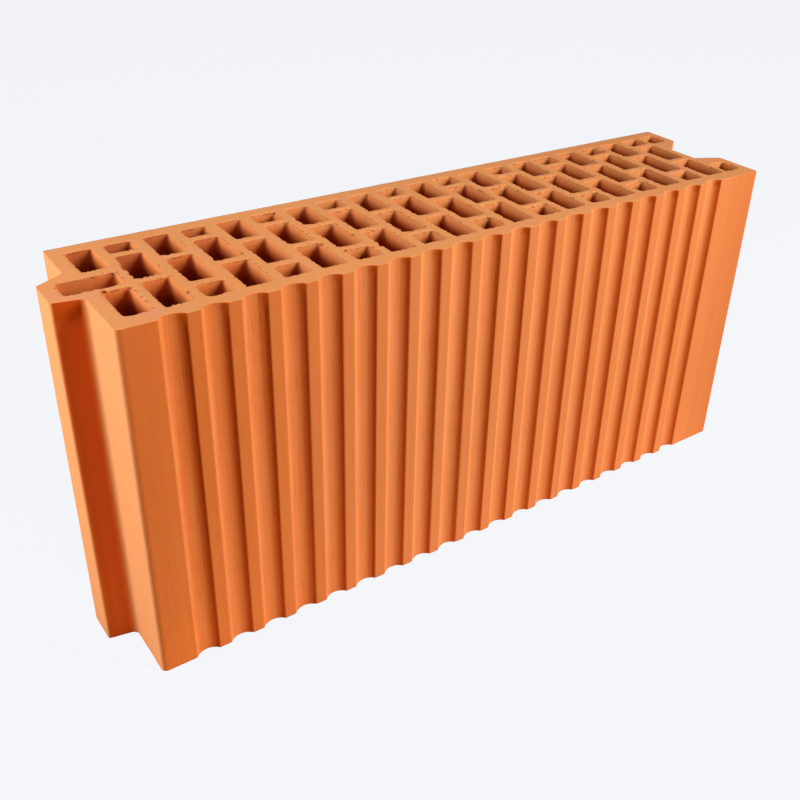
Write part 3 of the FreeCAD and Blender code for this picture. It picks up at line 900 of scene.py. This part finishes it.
# %% [markdown]
# ## Floor and backdrop
# A pale, even ground shows the block without a room around it. A white sheet under strong lamps would
# do, but then its tone would follow the lamps. The floor here is one large plane that gives the camera
# its own pale tone and a little light on top, so that the block's shadow shows. Under the columns of
# cells, where no light gets in, that tone is left out. To the block the floor is pale paper below and
# behind it and dark grey in front, so that little light comes up into the scallops.

# %% Floor
BACKDROP = srgb(243, 245, 249)
FLOOR_HALF = 12.0
FLOOR_GLOW, FLOOR_LIT = 0.975, 0.035
FLOOR_GREY, PAPER_GREY = 0.08, 0.62
PAPER_REACH = 0.3


def seen_ray(tree):
    """1 for a ray that shows the backdrop, straight or in a reflection, and 0 for light on its way."""
    path = tree.nodes.new("ShaderNodeLightPath")
    shown = out(path, "Is Camera Ray").at_least(out(path, "Is Glossy Ray"))
    return shown.at_least(out(path, "Is Transmission Ray"))


def grey(level):
    return (level, level, level, 1.0)


def either(tree, share, first, second):
    """The first shader where the share is 0 and the second where it is 1."""
    choice = add(tree, "ShaderNodeMixShader", {"Fac": share})
    tree.links.new(first.outputs[0], choice.inputs[1])
    tree.links.new(second.outputs[0], choice.inputs[2])
    return choice


def pale_floor():
    """Pale floor: mostly its own tone, and partly lit, so that a shadow shows."""
    material = bpy.data.materials.new("pale_floor")
    material.use_nodes = True
    tree = material.node_tree
    tree.nodes.clear()
    x, y, _ = parts_of(out(tree.nodes.new("ShaderNodeTexCoord"), "Object"))
    under = ramp(x, LEFT_END, FIRST_LEFT) * ramp(x, GROOVE_FLOOR, GROOVE_FLOOR - GROOVE_WALL)
    under = under * ramp(y, FRONT + SCALLOP_DEPTH, CELL_FRONT) * ramp(y, BACK, CELL_BACK)
    glow = add(tree, "ShaderNodeEmission", {"Color": BACKDROP, "Strength": (1.0 - under) * FLOOR_GLOW})
    lit = add(tree, "ShaderNodeBsdfDiffuse", {"Color": grey(FLOOR_LIT)})
    shown = tree.nodes.new("ShaderNodeAddShader")
    tree.links.new(glow.outputs[0], shown.inputs[0])
    tree.links.new(lit.outputs[0], shown.inputs[1])
    tone = mixed(tree, ramp(y, FRONT - PAPER_REACH, FRONT), grey(FLOOR_GREY), grey(PAPER_GREY))
    paper = add(tree, "ShaderNodeBsdfDiffuse", {"Color": tone})
    choice = either(tree, seen_ray(tree), paper, shown)
    end = tree.nodes.new("ShaderNodeOutputMaterial")
    tree.links.new(choice.outputs[0], end.inputs["Surface"])
    return material


sheet = bpy.data.meshes.new("floor")
corners = [(-1, -1), (1, -1), (1, 1), (-1, 1)]
sheet.from_pydata([(x * FLOOR_HALF, y * FLOOR_HALF, 0) for x, y in corners], [], [(0, 1, 2, 3)])
sheet.materials.append(pale_floor())
floor = bpy.data.objects.new("floor", sheet)
bpy.context.scene.collection.objects.link(floor)
print("floor: ready")

# %% [markdown]
# ## Studio light
# Two soft lamps light the block as for a catalogue. A small one stands half a metre off the left end,
# higher than the block: it makes the end face and the nearest cell walls glow, and fades along the
# block. A tall one, to the right and in front, rakes across the scallops, so that one side of each is
# bright and the other dark, and lights the top bed. More lamps would fill the shadows that show the
# shape. The world adds almost nothing, so the light in the cells is warm from clay to clay.

# %% Lamps and world
WORLD_LEVEL = 0.01


def area_lamp(name, place, target, size, power):
    """A soft lamp of some width and height at a place, turned to a target."""
    light = bpy.data.lights.new(name, "AREA")
    light.shape = "RECTANGLE"
    light.size, light.size_y = size
    light.energy = power
    lamp = bpy.data.objects.new(name, light)
    lamp.location = place
    aim = Vector(target) - Vector(place)
    lamp.rotation_euler = aim.to_track_quat("-Z", "Y").to_euler()
    bpy.context.scene.collection.objects.link(lamp)


def studio_world():
    """Almost no light of its own, and the backdrop's tone where it is seen."""
    world = bpy.data.worlds.new("studio")
    world.use_nodes = True
    tree = world.node_tree
    tree.nodes.clear()
    dim = add(tree, "ShaderNodeBackground", {"Color": grey(1.0), "Strength": WORLD_LEVEL})
    pale = add(tree, "ShaderNodeBackground", {"Color": BACKDROP, "Strength": 1.0})
    choice = either(tree, seen_ray(tree), dim, pale)
    end = tree.nodes.new("ShaderNodeOutputWorld")
    tree.links.new(choice.outputs[0], end.inputs["Surface"])
    return world


area_lamp("left_near", place=(-0.78, 0.11, 0.47), target=(-0.2, 0.0, 0.15), size=(0.35, 0.35), power=5.6)
area_lamp("key_right", place=(0.9, -1.2, 1.03), target=(0.0, 0.0, 0.14), size=(0.4, 1.0), power=41.0)
bpy.context.scene.world = studio_world()
bpy.context.scene.view_settings.view_transform = "Standard"

# %% [markdown]
# ## Camera
# The photograph looks down on the front left edge. A camera could be set by eye, but a few degrees
# would show. Its place, tilt and focal length were worked out from the block's corners and edges in the
# picture instead, so that the corners land within a few pixels of where the picture has them.

# %% Camera
IMAGE_SIZE = 800
SENSOR_WIDTH = 36.0
FOCAL_PIXELS = 989.17
EYE = Vector((-0.3719, -0.4996, 0.4743))
TURN, DIP, ROLL = math.radians(38.231), math.radians(30.142), math.radians(3.118)
PRINCIPAL_X, PRINCIPAL_Y = 456.9, 371.8

camera_data = bpy.data.cameras.new("camera")
camera_data.sensor_width = SENSOR_WIDTH
camera_data.lens = FOCAL_PIXELS * SENSOR_WIDTH / IMAGE_SIZE
camera_data.shift_x = (IMAGE_SIZE / 2 - PRINCIPAL_X) / IMAGE_SIZE
camera_data.shift_y = (PRINCIPAL_Y - IMAGE_SIZE / 2) / IMAGE_SIZE
camera = bpy.data.objects.new("camera", camera_data)
heading = Matrix.Rotation(-TURN, 4, "Z")
tilt = Matrix.Rotation(math.pi / 2 - DIP, 4, "X")
roll = Matrix.Rotation(ROLL, 4, "Z")
camera.matrix_world = Matrix.Translation(EYE) @ heading @ tilt @ roll
bpy.context.scene.collection.objects.link(camera)
bpy.context.scene.camera = camera
print(f"camera: lens {camera_data.lens:.1f} mm at {tuple(round(v, 3) for v in EYE)}")
